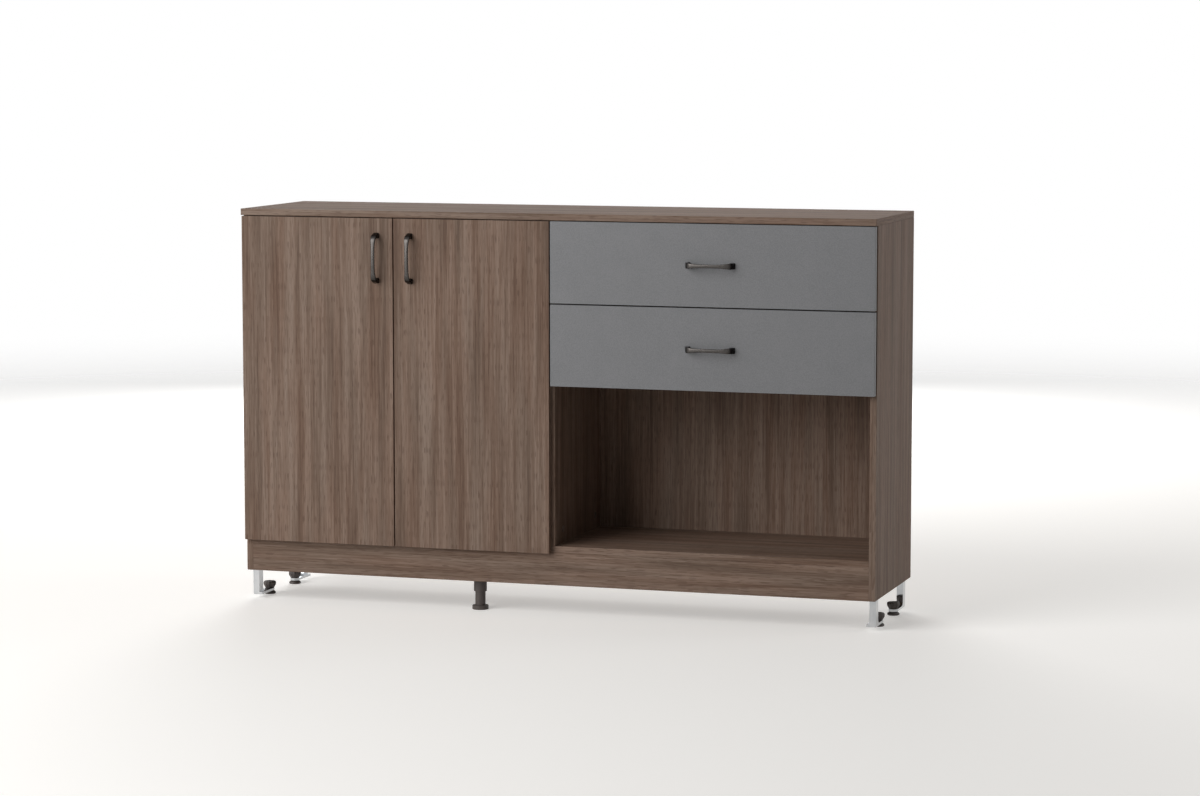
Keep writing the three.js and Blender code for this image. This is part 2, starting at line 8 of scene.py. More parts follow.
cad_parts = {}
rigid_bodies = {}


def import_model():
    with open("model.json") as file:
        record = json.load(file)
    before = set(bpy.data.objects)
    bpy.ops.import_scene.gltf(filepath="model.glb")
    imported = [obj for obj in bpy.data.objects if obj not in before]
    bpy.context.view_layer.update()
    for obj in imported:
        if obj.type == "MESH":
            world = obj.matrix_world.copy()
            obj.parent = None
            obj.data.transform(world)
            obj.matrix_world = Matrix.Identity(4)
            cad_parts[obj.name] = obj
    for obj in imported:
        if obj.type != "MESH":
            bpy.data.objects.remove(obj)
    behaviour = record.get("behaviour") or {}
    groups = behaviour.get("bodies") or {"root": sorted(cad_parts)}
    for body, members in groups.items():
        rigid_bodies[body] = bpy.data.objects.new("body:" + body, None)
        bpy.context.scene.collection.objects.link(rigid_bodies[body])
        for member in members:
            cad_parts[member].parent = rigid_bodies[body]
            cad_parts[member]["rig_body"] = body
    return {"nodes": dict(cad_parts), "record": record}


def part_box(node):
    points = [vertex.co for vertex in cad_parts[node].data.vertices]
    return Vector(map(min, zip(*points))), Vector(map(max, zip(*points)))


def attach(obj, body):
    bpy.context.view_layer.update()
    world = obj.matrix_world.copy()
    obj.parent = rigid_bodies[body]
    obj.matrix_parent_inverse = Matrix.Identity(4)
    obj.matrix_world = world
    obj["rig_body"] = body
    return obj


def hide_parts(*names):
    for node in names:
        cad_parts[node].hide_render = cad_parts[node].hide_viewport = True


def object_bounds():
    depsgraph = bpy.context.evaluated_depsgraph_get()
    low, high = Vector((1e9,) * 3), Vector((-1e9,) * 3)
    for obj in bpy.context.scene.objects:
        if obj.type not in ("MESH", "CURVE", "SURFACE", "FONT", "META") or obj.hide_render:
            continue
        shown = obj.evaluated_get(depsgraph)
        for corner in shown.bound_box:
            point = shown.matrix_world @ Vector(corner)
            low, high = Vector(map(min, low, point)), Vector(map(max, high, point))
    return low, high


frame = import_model()
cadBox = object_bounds()
nodes = frame["nodes"]
scene = bpy.context.scene
scene.view_settings.view_transform = "Standard"
mm = 0.001
for stray in [o for o in scene.objects if "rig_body" not in o and not o.name.startswith("body:")]:
    bpy.data.objects.remove(stray)

# Camera at the photograph's angle, level horizon, no shift. Place in m, angles in degrees, lens in mm.
cameraSetup = {"place": (2.5902, -7.9036, 1.4023), "turn": 17.700, "tilt": 6.099,
               "lens": 102.30, "sensor": 36}
cameraData = bpy.data.cameras.new("camera")
cameraData.sensor_width = cameraSetup["sensor"]
cameraData.lens = cameraSetup["lens"]
camera = bpy.data.objects.new("camera", cameraData)
camera.location = cameraSetup["place"]
camera.rotation_euler = (math.radians(90 - cameraSetup["tilt"]), 0, math.radians(cameraSetup["turn"]))
scene.collection.objects.link(camera)
scene.camera = camera


def linear(hexColour):
    def channel(v):
        return v / 12.92 if v <= 0.04045 else ((v + 0.055) / 1.055) ** 2.4
    return tuple(channel(int(hexColour[i:i + 2], 16) / 255) for i in (1, 3, 5)) + (1.0,)


def newMaterial(name, **shader):
    material = bpy.data.materials.new(name)
    material.use_nodes = True
    bsdf = material.node_tree.nodes["Principled BSDF"]
    for key, value in shader.items():
        bsdf.inputs[key.replace("_", " ")].default_value = value
    return material, bsdf


def addNode(material, kind, inputs=None, **settings):
    made = material.node_tree.nodes.new(kind)
    for key, value in settings.items():
        setattr(made, key, value)
    for key, value in (inputs or {}).items():
        if isinstance(value, bpy.types.NodeSocket):
            material.node_tree.links.new(value, made.inputs[key])
        else:
            made.inputs[key].default_value = value
    return made


def feedShader(material, shader, **sources):
    for key, source in sources.items():
        material.node_tree.links.new(source, shader.inputs[key.replace("_", " ")])


def setRamp(ramp, stops):
    elements = ramp.color_ramp.elements
    while len(elements) < len(stops):
        elements.new(0.5)
    for element, (place, colour) in zip(elements, stops):
        element.position = place
        element.color = colour


# Nearly all of a noise lies in this range. A map range takes a value, where it runs from and where to.
noiseRange = (0.3, 0.7)
fullRange = (0.0, 1.0)

# Woodgrain laminate: printed walnut paper under melamine resin, pressed with a shallow pore texture.
# It shows long grey-brown streaks of uneven width, short dark pores and a soft satin gloss.
# Widths, lengths and depth in mm; the pores are about twice as wide as real ones, so that they show.
# Each noise has its detail, roughness and distortion.
woodgrain = {
    "dark": "#574439", "shade": "#6e5a4d", "ground": "#7f6b5e", "pale": "#907d70",
    "stops": {"dark": 0.39, "shade": 0.46, "ground": 0.52, "pale": 0.60},
    "warm": "#806555", "cool": "#796a5e", "tint": 0.28, "tintRange": (0.38, 0.62),
    "band": (24, 640), "streak": (5.2, 270), "fibre": (2.0, 95), "pore": (1.9, 26), "hue": (38, 430),
    "noises": {"band": (2.0, 0.45, 0.35), "streak": (4.0, 0.55, 0.25), "fibre": (2.0, 0.5, 0.1),
               "pore": (0.0, 0.5, 0.0), "hue": (2.0, 0.5, 0.2)},
    "shift": (1.7, 3.1, 0.013), "shares": {"band": 0.36, "streak": 0.38, "fibre": 0.26},
    "poreRange": (0.32, 0.40), "poreShare": 0.5, "endFace": 0.7,
    "specular": 0.12, "roughness": (0.52, 0.66), "relief": 0.12, "depth": 0.25,
}


def woodgrainLaminate(name, grain):
    v = woodgrain
    material, bsdf = newMaterial(name, Specular_IOR_Level=v["specular"], IOR=1.5)
    coords = addNode(material, "ShaderNodeTexCoord")
    place = addNode(material, "ShaderNodeSeparateXYZ", {0: coords.outputs["Object"]})
    facing = addNode(material, "ShaderNodeSeparateXYZ", {0: coords.outputs["Normal"]})
    across, other, along = {"z": ("X", "Y", "Z"), "x": ("Y", "Z", "X")}[grain]
    run = addNode(material, "ShaderNodeCombineXYZ",
                  {0: place.outputs[across], 1: place.outputs[other], 2: place.outputs[along]})
    # an edge band across the end of the grain runs the other way
    endBand = addNode(material, "ShaderNodeCombineXYZ",
                      {0: place.outputs[along], 1: place.outputs[other], 2: place.outputs[across]})
    slant = addNode(material, "ShaderNodeMath", {0: facing.outputs[along]}, operation="ABSOLUTE")
    endFace = addNode(material, "ShaderNodeMath", {0: slant.outputs[0], 1: v["endFace"]},
                      operation="GREATER_THAN")
    lie = addNode(material, "ShaderNodeMix",
                  {"Factor": endFace.outputs[0], 4: run.outputs[0], 5: endBand.outputs[0]},
                  data_type="VECTOR")

    noises = {}
    shiftAcross, shiftOther, shiftAlong = v["shift"]
    for key, (detail, rough, distortion) in v["noises"].items():
        width, length = v[key]
        mapped = addNode(material, "ShaderNodeMapping", {
            "Vector": lie.outputs[1],
            "Location": (width * shiftAcross, shiftOther, length * shiftAlong),
            "Scale": (1 / (width * mm), 1 / (width * mm), 1 / (length * mm))})
        noises[key] = addNode(material, "ShaderNodeTexNoise", {
            "Vector": mapped.outputs[0], "Scale": 1.0, "Detail": detail, "Roughness": rough,
            "Distortion": distortion}).outputs[0]

    tone = 0.0
    for key, share in v["shares"].items():
        tone = addNode(material, "ShaderNodeMath", {0: noises[key], 1: share, 2: tone},
                       operation="MULTIPLY_ADD").outputs[0]
    ramp = addNode(material, "ShaderNodeValToRGB", {0: tone})
    setRamp(ramp, [(stop, linear(v[key])) for key, stop in v["stops"].items()])
    leaning = addNode(material, "ShaderNodeMapRange",
                      dict(enumerate((noises["hue"], *v["tintRange"], *fullRange))))
    lean = addNode(material, "ShaderNodeMix",
                   {"Factor": leaning.outputs[0], 6: linear(v["cool"]), 7: linear(v["warm"])},
                   data_type="RGBA")
    tinted = addNode(material, "ShaderNodeMix",
                     {"Factor": v["tint"], 6: ramp.outputs[0], 7: lean.outputs[2]}, data_type="RGBA")
    poreMask = addNode(material, "ShaderNodeMapRange",
                       dict(enumerate((noises["pore"], *v["poreRange"], 1.0, 0.0))))
    poreShare = addNode(material, "ShaderNodeMath", {0: poreMask.outputs[0], 1: v["poreShare"]},
                        operation="MULTIPLY")
    pored = addNode(material, "ShaderNodeMix",
                    {"Factor": poreShare.outputs[0], 6: tinted.outputs[2], 7: linear(v["dark"])},
                    data_type="RGBA")
    gloss = addNode(material, "ShaderNodeMapRange",
                    dict(enumerate((noises["fibre"], *noiseRange, *v["roughness"]))))
    height = addNode(material, "ShaderNodeMath", {0: noises["fibre"], 1: poreMask.outputs[0]},
                     operation="SUBTRACT")
    bump = addNode(material, "ShaderNodeBump",
                   {"Strength": v["relief"], "Distance": v["depth"] * mm, "Height": height.outputs[0]})
    feedShader(material, bsdf, Base_Color=pored.outputs[2], Roughness=gloss.outputs[0],
               Normal=bump.outputs[0])
    return material


# Plain laminate: a melamine face with a fine pearl press texture.
# It gives an even matte colour with a faint cloud and a soft, broken highlight. Sizes in mm.
plainLaminates = {
    "greyPearlLaminate": {"colours": ("#6e6f71", "#7c7c7e"), "cloud": 55, "pearl": 2.2,
                          "roughness": (0.40, 0.50)},
    "paleBoxLaminate": {"colours": ("#b3b0aa", "#bfbcb6"), "cloud": 40, "pearl": 2.6,
                        "roughness": (0.48, 0.60)},
    "brownCapPlastic": {"colours": ("#5e5048", "#685950"), "cloud": 6, "pearl": 0.9,
                        "roughness": (0.38, 0.46)},
}
pearlPress = {"cloudShare": 0.25, "tones": (0.42, 0.83), "specular": 0.4, "relief": 0.10, "depth": 0.2}


def pearlLaminate(name):
    v = plainLaminates[name]
    material, bsdf = newMaterial(name, Specular_IOR_Level=pearlPress["specular"], IOR=1.5)
    coords = addNode(material, "ShaderNodeTexCoord").outputs["Object"]
    cloud = addNode(material, "ShaderNodeTexNoise",
                    {"Vector": coords, "Scale": 1 / (v["cloud"] * mm), "Detail": 3.0}).outputs[0]
    pearl = addNode(material, "ShaderNodeTexNoise",
                    {"Vector": coords, "Scale": 1 / (v["pearl"] * mm), "Detail": 1.0}).outputs[0]
    both = addNode(material, "ShaderNodeMath", {0: cloud, 1: pearlPress["cloudShare"], 2: pearl},
                   operation="MULTIPLY_ADD")
    share = addNode(material, "ShaderNodeMapRange",
                    dict(enumerate((both.outputs[0], *pearlPress["tones"], *fullRange))))
    dark, light = map(linear, v["colours"])
    colour = addNode(material, "ShaderNodeMix", {"Factor": share.outputs[0], 6: dark, 7: light},
                     data_type="RGBA")
    gloss = addNode(material, "ShaderNodeMapRange", dict(enumerate((pearl, *noiseRange, *v["roughness"]))))
    bump = addNode(material, "ShaderNodeBump", {
        "Strength": pearlPress["relief"], "Distance": pearlPress["depth"] * mm, "Height": pearl})
    feedShader(material, bsdf, Base_Color=colour.outputs[2], Roughness=gloss.outputs[0],
               Normal=bump.outputs[0])
    return material


# Plated metals: a mirror in the plating's colour, sharp on chrome and soft on zinc, with faint marks.
# Sizes in mm. The long side of a mark follows how the part was drawn, rolled or polished.
platings = {
    "chromePlate": {"colours": ("#b9bcbf", "#c6c8ca"), "roughness": (0.05, 0.11),
                    "mark": (18, 18, 30), "relief": 0.0},
    "zincSheet": {"colours": ("#9ea2a5", "#b9bdbf"), "roughness": (0.28, 0.42),
                  "mark": (1.6, 60, 1.6), "relief": 0.05},
    "nickelSteel": {"colours": ("#b9b5ab", "#cbc7bd"), "roughness": (0.18, 0.30),
                    "mark": (7, 7, 7), "relief": 0.02},
    "screwZinc": {"colours": ("#a9a79f", "#c0beb6"), "roughness": (0.25, 0.38),
                  "mark": (1.2, 1.2, 1.2), "relief": 0.02},
}
platingMarks = {"tones": (0.35, 0.65), "depth": 0.1}


def platedMetal(name):
    v = platings[name]
    material, bsdf = newMaterial(name, Metallic=1.0)
    coords = addNode(material, "ShaderNodeTexCoord").outputs["Object"]
    mapped = addNode(material, "ShaderNodeMapping",
                     {"Vector": coords, "Scale": tuple(1 / (size * mm) for size in v["mark"])})
    marks = addNode(material, "ShaderNodeTexNoise", {
        "Vector": mapped.outputs[0], "Scale": 1.0, "Detail": 3.0, "Roughness": 0.6}).outputs[0]
    share = addNode(material, "ShaderNodeMapRange",
                    dict(enumerate((marks, *platingMarks["tones"], *fullRange)))).outputs[0]
    dark, light = map(linear, v["colours"])
    colour = addNode(material, "ShaderNodeMix", {"Factor": share, 6: dark, 7: light}, data_type="RGBA")
    gloss = addNode(material, "ShaderNodeMapRange", dict(enumerate((share, *fullRange, *v["roughness"]))))
    feedShader(material, bsdf, Base_Color=colour.outputs[2], Roughness=gloss.outputs[0])
    if v["relief"]:
        bump = addNode(material, "ShaderNodeBump", {
            "Strength": v["relief"], "Distance": platingMarks["depth"] * mm, "Height": marks})
        feedShader(material, bsdf, Normal=bump.outputs[0])
    return material


# Black nickel on a zinc casting: smoked mirror plating in the bar's colour. The two legs are painted
# darker, as painted shade and painted dark reflection. Distances in mm in front of the board that the
# handle stands on.
blackNickelPaintedShade = {"leg": "#1f1c1b", "bar": "#494644", "paintedShadeSpan": (16.0, 24.5), "mark": 14,
               "roughness": (0.22, 0.34)}


def blackNickelPlate(name, frontY):
    v = blackNickelPaintedShade
    material, bsdf = newMaterial(name, Metallic=1.0)
    coords = addNode(material, "ShaderNodeTexCoord").outputs["Object"]
    place = addNode(material, "ShaderNodeSeparateXYZ", {0: coords})
    # painted shade on the legs: the dark leg colour is full up to the first distance and fades out by the
    # second
    paintedShadeFull, paintedShadeGone = [frontY - distance * mm for distance in v["paintedShadeSpan"]]
    leg = addNode(material, "ShaderNodeMapRange",
                  dict(enumerate((place.outputs["Y"], paintedShadeGone, paintedShadeFull, *fullRange))),
                  interpolation_type="SMOOTHSTEP")
    marks = addNode(material, "ShaderNodeTexNoise",
                    {"Vector": coords, "Scale": 1 / (v["mark"] * mm), "Detail": 4.0}).outputs[0]
    colour = addNode(material, "ShaderNodeMix",
                     {"Factor": leg.outputs[0], 6: linear(v["bar"]), 7: linear(v["leg"])},
                     data_type="RGBA")
    gloss = addNode(material, "ShaderNodeMapRange", dict(enumerate((marks, *noiseRange, *v["roughness"]))))
    feedShader(material, bsdf, Base_Color=colour.outputs[2], Roughness=gloss.outputs[0])
    return material


# Moulded polypropylene: charcoal, with the fine spark-eroded grain of its mould and a dull sheen.
# Grain and depth in mm.
mouldedCharcoal = {"colours": ("#433c39", "#514844"), "grain": 1.1, "roughness": (0.42, 0.58),
                   "relief": 0.25, "depth": 0.15}


def mouldedPolypropylene(name):
    v = mouldedCharcoal
    material, bsdf = newMaterial(name, Specular_IOR_Level=0.45, IOR=1.49)
    coords = addNode(material, "ShaderNodeTexCoord").outputs["Object"]
    grain = addNode(material, "ShaderNodeTexNoise",
                    {"Vector": coords, "Scale": 1 / (v["grain"] * mm), "Detail": 2.0}).outputs[0]
    dark, light = map(linear, v["colours"])
    colour = addNode(material, "ShaderNodeMix", {"Factor": grain, 6: dark, 7: light}, data_type="RGBA")
    gloss = addNode(material, "ShaderNodeMapRange", dict(enumerate((grain, *noiseRange, *v["roughness"]))))
    bump = addNode(material, "ShaderNodeBump",
                   {"Strength": v["relief"], "Distance": v["depth"] * mm, "Height": grain})
    feedShader(material, bsdf, Base_Color=colour.outputs[2], Roughness=gloss.outputs[0],
               Normal=bump.outputs[0])
    return material


# Clear polyurethane: soft door dots, milky where they are thick. The haze in mm.
milkyClear = {"colours": ("#d9dbda", "#eef0ef"), "haze": 2, "clearness": 0.6, "roughness": (0.18, 0.32)}


def clearPolyurethane(name):
    v = milkyClear
    material, bsdf = newMaterial(name, Transmission_Weight=v["clearness"], IOR=1.46,
                                 Specular_IOR_Level=0.5)
    coords = addNode(material, "ShaderNodeTexCoord").outputs["Object"]
    haze = addNode(material, "ShaderNodeTexNoise",
                   {"Vector": coords, "Scale": 1 / (v["haze"] * mm), "Detail": 2.0}).outputs[0]
    dark, light = map(linear, v["colours"])
    colour = addNode(material, "ShaderNodeMix", {"Factor": haze, 6: dark, 7: light}, data_type="RGBA")
    gloss = addNode(material, "ShaderNodeMapRange", dict(enumerate((haze, *noiseRange, *v["roughness"]))))
    feedShader(material, bsdf, Base_Color=colour.outputs[2], Roughness=gloss.outputs[0])
    return material


walnutUpright = woodgrainLaminate("walnutLaminateUpright", "z")
walnutLengthwise = woodgrainLaminate("walnutLaminateLengthwise", "x")
greyLaminate = pearlLaminate("greyPearlLaminate")
boxLaminate = pearlLaminate("paleBoxLaminate")
capPlastic = pearlLaminate("brownCapPlastic")
chromePlate = platedMetal("chromePlate")
zincSheet = platedMetal("zincSheet")
nickelSteel = platedMetal("nickelSteel")
screwZinc = platedMetal("screwZinc")
charcoalPlastic = mouldedPolypropylene("mouldedPolypropylene")
dotPlastic = clearPolyurethane("clearPolyurethane")
print("materials:", len(bpy.data.materials))


# CAD nodes keep their shape and get their finish and a small broken edge, in mm
lengthwise = ("top_panel", "bottom_panel", "drawer_bay_floor_panel", "front_plinth_rail",
              "rear_plinth_rail", "adjustable_shelf")
finishes = {
    "walnut_board": (walnutUpright, 0.9),
    "grey_board": (greyLaminate, 0.9),
    "drawer_box_board": (boxLaminate, 0.6),
    "chrome_plate": (chromePlate, 0.8),
    "zinc_steel": (zincSheet, 0.25),
    "nickel_steel": (nickelSteel, 0.4),
    "black_plastic": (charcoalPlastic, 0.6),
    "dark_nickel": (nickelSteel, 0.4),
}
brokenEdge = {"weld": 0.002, "segments": 2, "angle": 40}
slotOf = {row["node"]: row["material_slot"] for row in frame["record"]["subparts"]}
for name, cadNode in nodes.items():
    material, edge = finishes[slotOf[name]]
    if name in lengthwise:
        material = walnutLengthwise
    cadNode.data.materials.clear()
    cadNode.data.materials.append(material)
    weld = cadNode.modifiers.new("weld", "WELD")
    weld.merge_threshold = brokenEdge["weld"] * mm
    bevel = cadNode.modifiers.new("brokenEdge", "BEVEL")
    bevel.width = edge * mm
    bevel.segments = brokenEdge["segments"]
    bevel.limit_method = "ANGLE"
    bevel.angle_limit = math.radians(brokenEdge["angle"])
    bevel.harden_normals = True
print("finishes given to the CAD nodes")

# Every added piece: merge distance in mm, and the angle in degrees from which an edge stays sharp
pieceMesh = {"merge": 0.004, "sharp": 38}


def finishPiece(name, shape, material, body, replaced=(), sharp=pieceMesh["sharp"]):
    bmesh.ops.remove_doubles(shape, verts=shape.verts, dist=pieceMesh["merge"] * mm)
    bmesh.ops.recalc_face_normals(shape, faces=shape.faces)
    mesh = bpy.data.meshes.new(name)
    shape.to_mesh(mesh)
    shape.free()
    mesh.polygons.foreach_set("use_smooth", [True] * len(mesh.polygons))
    mesh.set_sharp_from_angle(angle=math.radians(sharp))
    mesh.materials.append(material)
    piece = bpy.data.objects.new(name, mesh)
    scene.collection.objects.link(piece)
    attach(piece, body)
    if replaced:
        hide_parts(*replaced)


# Bow handles: one rounded bar swept out of its foot, over a shoulder and along a flat crown.
# Sizes in mm, the leg's lean in degrees.
bowHandle = {
    "thickness": 6.0, "width": 8.6, "edgeRound": 1.9, "edgeSegments": 4,
    "crownRise": 1.5, "crownSteps": 10, "shoulder": 17.0, "shoulderSteps": 12, "lean": 70.5,
    "footWidth": 15.0, "flareFrom": 24.0, "footLength": 14.0, "thickenBelow": 16.0, "legCuts": 5,
    "merge": 0.001,
}


def sweepHandle(half, reach):
    v = bowHandle
    lean = math.radians(v["lean"])
    shape = bmesh.new()
    bmesh.ops.create_grid(shape, x_segments=1, y_segments=1, size=0.5)
    bmesh.ops.scale(shape, vec=(v["thickness"], v["width"], 1), verts=shape.verts)
    bmesh.ops.bevel(shape, geom=shape.verts[:], offset=v["edgeRound"], segments=v["edgeSegments"],
                    profile=0.5, affect="VERTICES", material=-1)
    bmesh.ops.delete(shape, geom=shape.faces[:], context="FACES_ONLY")
    upright = Matrix(((0, 0, 1, 0), (1, 0, 0, 0), (0, 1, 0, 0), (0, 0, 0, 1)))
    bmesh.ops.transform(shape, matrix=upright, verts=shape.verts)
    middleY = v["thickness"] / 2 - reach
    bmesh.ops.translate(shape, vec=(0, middleY, 0), verts=shape.verts)

    # the crown's half length follows from the foot's place
    barDrop = reach - v["thickness"] / 2 - v["crownRise"]
    shoulderDrop = v["shoulder"] * (1 - math.cos(lean))
    legRun = (barDrop - shoulderDrop) / math.tan(lean)
    crownHalf = half - v["thickness"] / 2 / math.sin(lean) - legRun - v["shoulder"] * math.sin(lean)
    crownRadius = crownHalf ** 2 / (2 * v["crownRise"])
    crownTurn = math.asin(crownHalf / crownRadius)

    loop = shape.verts[:] + shape.edges[:]
    turned = bmesh.ops.spin(shape, geom=loop, cent=(0, middleY + crownRadius, 0), axis=(0, 0, 1),
                            angle=crownTurn, steps=v["crownSteps"])
    loop = turned["geom_last"]
    points = [g for g in loop if isinstance(g, bmesh.types.BMVert)]
    at = sum((p.co for p in points), Vector()) / len(points)
    centre = at + v["shoulder"] * Vector((-math.sin(crownTurn), math.cos(crownTurn), 0))
    turned = bmesh.ops.spin(shape, geom=loop, cent=centre, axis=(0, 0, 1), angle=lean - crownTurn,
                            steps=v["shoulderSteps"])
    edges = [g for g in turned["geom_last"] if isinstance(g, bmesh.types.BMEdge)]

    # the leg runs on past the board's face and is cut off there
    leg = bmesh.ops.extrude_edge_only(shape, edges=edges)["geom"]
    legPoints = [g for g in leg if isinstance(g, bmesh.types.BMVert)]
    legStep = 2 * barDrop * Vector((math.cos(lean), math.sin(lean), 0))
    bmesh.ops.translate(shape, vec=legStep, verts=legPoints)
    everything = shape.verts[:] + shape.edges[:] + shape.faces[:]
    foot = bmesh.ops.bisect_plane(shape, geom=everything, plane_co=(0, 0, 0), plane_no=(0, 1, 0),
                                  clear_outer=True)
    footEdges = [g for g in foot["geom_cut"] if isinstance(g, bmesh.types.BMEdge)]
    footPoints = {vert for edge in footEdges for vert in edge.verts}
    bmesh.ops.edgeloop_fill(shape, edges=footEdges)
    legEdges = [edge for edge in shape.edges if len(footPoints.intersection(edge.verts)) == 1]
    bmesh.ops.subdivide_edges(shape, edges=legEdges, cuts=v["legCuts"])

    # the bar widens towards its feet, and the legs thicken on their inner side
    footMiddle = half - v["thickness"] / 2 / math.sin(lean)
    footGrowth = v["footLength"] - v["thickness"] / math.sin(lean)
    for vert in shape.verts:
        share = min(max((vert.co.x - v["flareFrom"]) / (half - v["flareFrom"]), 0), 1)
        vert.co.z *= 1 + (v["footWidth"] / v["width"] - 1) * share * share * (3 - 2 * share)
        rise = -vert.co.y
        if rise < v["thickenBelow"] and vert.co.x < footMiddle - rise / math.tan(lean):
            vert.co.x -= footGrowth * (1 - rise / v["thickenBelow"]) ** 2
    everything = shape.verts[:] + shape.edges[:] + shape.faces[:]
    bmesh.ops.mirror(shape, geom=everything, axis="X", merge_dist=v["merge"])
    bmesh.ops.scale(shape, vec=(mm, mm, mm), verts=shape.verts)
    return shape


quarterTurn = Matrix.Rotation(math.pi / 2, 3, "Y")
for body in ("left_door", "right_door", "lower_drawer", "upper_drawer"):
    node = body + "_handle"
    low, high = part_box(node)
    size, middle = high - low, (low + high) / 2
    shape = sweepHandle(max(size.x, size.z) / 2 / mm, size.y / mm)
    if size.z > size.x:
        bmesh.ops.rotate(shape, cent=(0, 0, 0), matrix=quarterTurn, verts=shape.verts)
    bmesh.ops.translate(shape, vec=(middle.x, high.y, middle.z), verts=shape.verts)
    plating = blackNickelPlate(body + "BlackNickel", high.y)
    finishPiece(body + "_bow_handle", shape, plating, body, [node])
print("bow handles swept")


# Levelling feet: glide, stud and a lobed knob turned in one piece, radius and height in mm
levellingFoot = {
    "profile": [(0, 0), (13.2, 0), (15, 1.2), (15, 4.2), (13.4, 6.2), (8.5, 8.9), (4, 9), (4, 15.6),
                (10.6, 15.6), (12.2, 17.2), (15.4, 23), (16, 24.6), (16, 28.6), (15.2, 31), (13, 32.2),
                (8.4, 32.6), (7.8, 31.8), (0, 31.6)],
    "lobes": 10, "lobeDepth": 0.085, "knobFrom": 16.4, "knobRadius": 10.0, "steps": 80, "sharp": 50,
}


def spinProfile(profile, steps):
    shape = bmesh.new()
    points = [shape.verts.new((radius * mm, 0, height * mm)) for radius, height in profile]
    edges = [shape.edges.new(pair) for pair in zip(points, points[1:])]
    bmesh.ops.spin(shape, geom=points + edges, cent=(0, 0, 0), axis=(0, 0, 1), angle=2 * math.pi,
                   steps=steps, use_merge=True)
    return shape


def turnFoot(x, y):
    v = levellingFoot
    shape = spinProfile(v["profile"], v["steps"])
    for vert in shape.verts:  # the grip is pulled in between its lobes
        radius = math.hypot(vert.co.x, vert.co.y)
        if vert.co.z > v["knobFrom"] * mm and radius > v["knobRadius"] * mm:
            wave = (1 - math.cos(v["lobes"] * math.atan2(vert.co.y, vert.co.x))) / 2
            vert.co.xy *= 1 - v["lobeDepth"] * wave ** 2
    bmesh.ops.translate(shape, vec=(x, y, 0), verts=shape.verts)
    return shape


for end in ("front", "rear"):
    for side in ("left", "right"):
        body = f"{end}_{side}_leveller"
        low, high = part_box(body)
        shape = turnFoot((low.x + high.x) / 2, (low.y + high.y) / 2)
        finishPiece(f"{end}_{side}_levelling_foot", shape, charcoalPlastic, body,
                    [body], sharp=levellingFoot["sharp"])
print("levelling feet turned")


# Small round parts, turned about +Z with their seat at the origin: radius, height and slot depth in mm
roundParts = {
    "panScrew": {"slot": 0.9, "profile": [
        (0, 2.0), (0.9, 2.0), (1.8, 1.9), (2.9, 1.5), (3.6, 0.8), (3.7, 0), (0, 0)]},
    "flatScrew": {"slot": 0.42, "profile": [
        (0, 0.5), (0.9, 0.5), (1.9, 0.5), (3.0, 0.45), (3.5, 0.2), (3.6, 0), (0, 0)]},
    "cam": {"slot": 0.42, "profile": [
        (0, 0.5), (1.6, 0.5), (3.4, 0.5), (6.9, 0.45), (7.4, 0.2), (7.5, 0), (0, 0)]},
    "coverCap": {"slot": 0, "profile": [(0, 1.6), (4, 1.5), (7.2, 1.0), (8.3, 0.4), (8.5, 0), (0, 0)]},
    "doorDot": {"slot": 0, "profile": [(0, 1.7), (1.4, 1.6), (2.6, 1.1), (3.1, 0.4), (3.2, 0), (0, 0)]},
}
roundTurning = {"steps": 24, "merge": 0.001, "slotMargin": 0.1, "slotHalf": 0.05, "slotAbove": 0.1}


def turnRoundPart(kind):
    v = roundParts[kind]
    shape = spinProfile(v["profile"], roundTurning["steps"])
    bmesh.ops.remove_doubles(shape, verts=shape.verts, dist=roundTurning["merge"] * mm)
    if v["slot"]:  # a cross recess: the head's points on both axes are pressed in
        slotReach = (v["profile"][2][0] + roundTurning["slotMargin"]) * mm
        for vert in shape.verts:
            onAxis = min(abs(vert.co.x), abs(vert.co.y)) < roundTurning["slotHalf"] * mm
            onHead = vert.co.z > roundTurning["slotAbove"] * mm
            if onAxis and onHead and math.hypot(vert.co.x, vert.co.y) < slotReach:
                vert.co.z -= v["slot"] * mm
    mesh = bpy.data.meshes.new(kind)
    shape.to_mesh(mesh)
    shape.free()
    return mesh


partMeshes = {kind: turnRoundPart(kind) for kind in roundParts}
facings = {"+X": (1, 0, 0), "-X": (-1, 0, 0), "+Y": (0, 1, 0), "-Z": (0, 0, -1)}
screwTurns = {"first": 0.4, "next": 1.1}  # radians: no two screws stop at the same angle


def setParts(name, kind, places, facing, material, body):
    shape = bmesh.new()
    turn = Vector((0, 0, 1)).rotation_difference(Vector(facings[facing])).to_matrix().to_4x4()
    for count, place in enumerate(places):
        start = len(shape.verts)
        shape.from_mesh(partMeshes[kind])
        shape.verts.ensure_lookup_table()
        spun = Matrix.Rotation(screwTurns["first"] + screwTurns["next"] * count, 4, "Z")
        placed = Matrix.Translation(place) @ turn @ spun
        bmesh.ops.transform(shape, matrix=placed, verts=shape.verts[start:])
    finishPiece(name, shape, material, body)


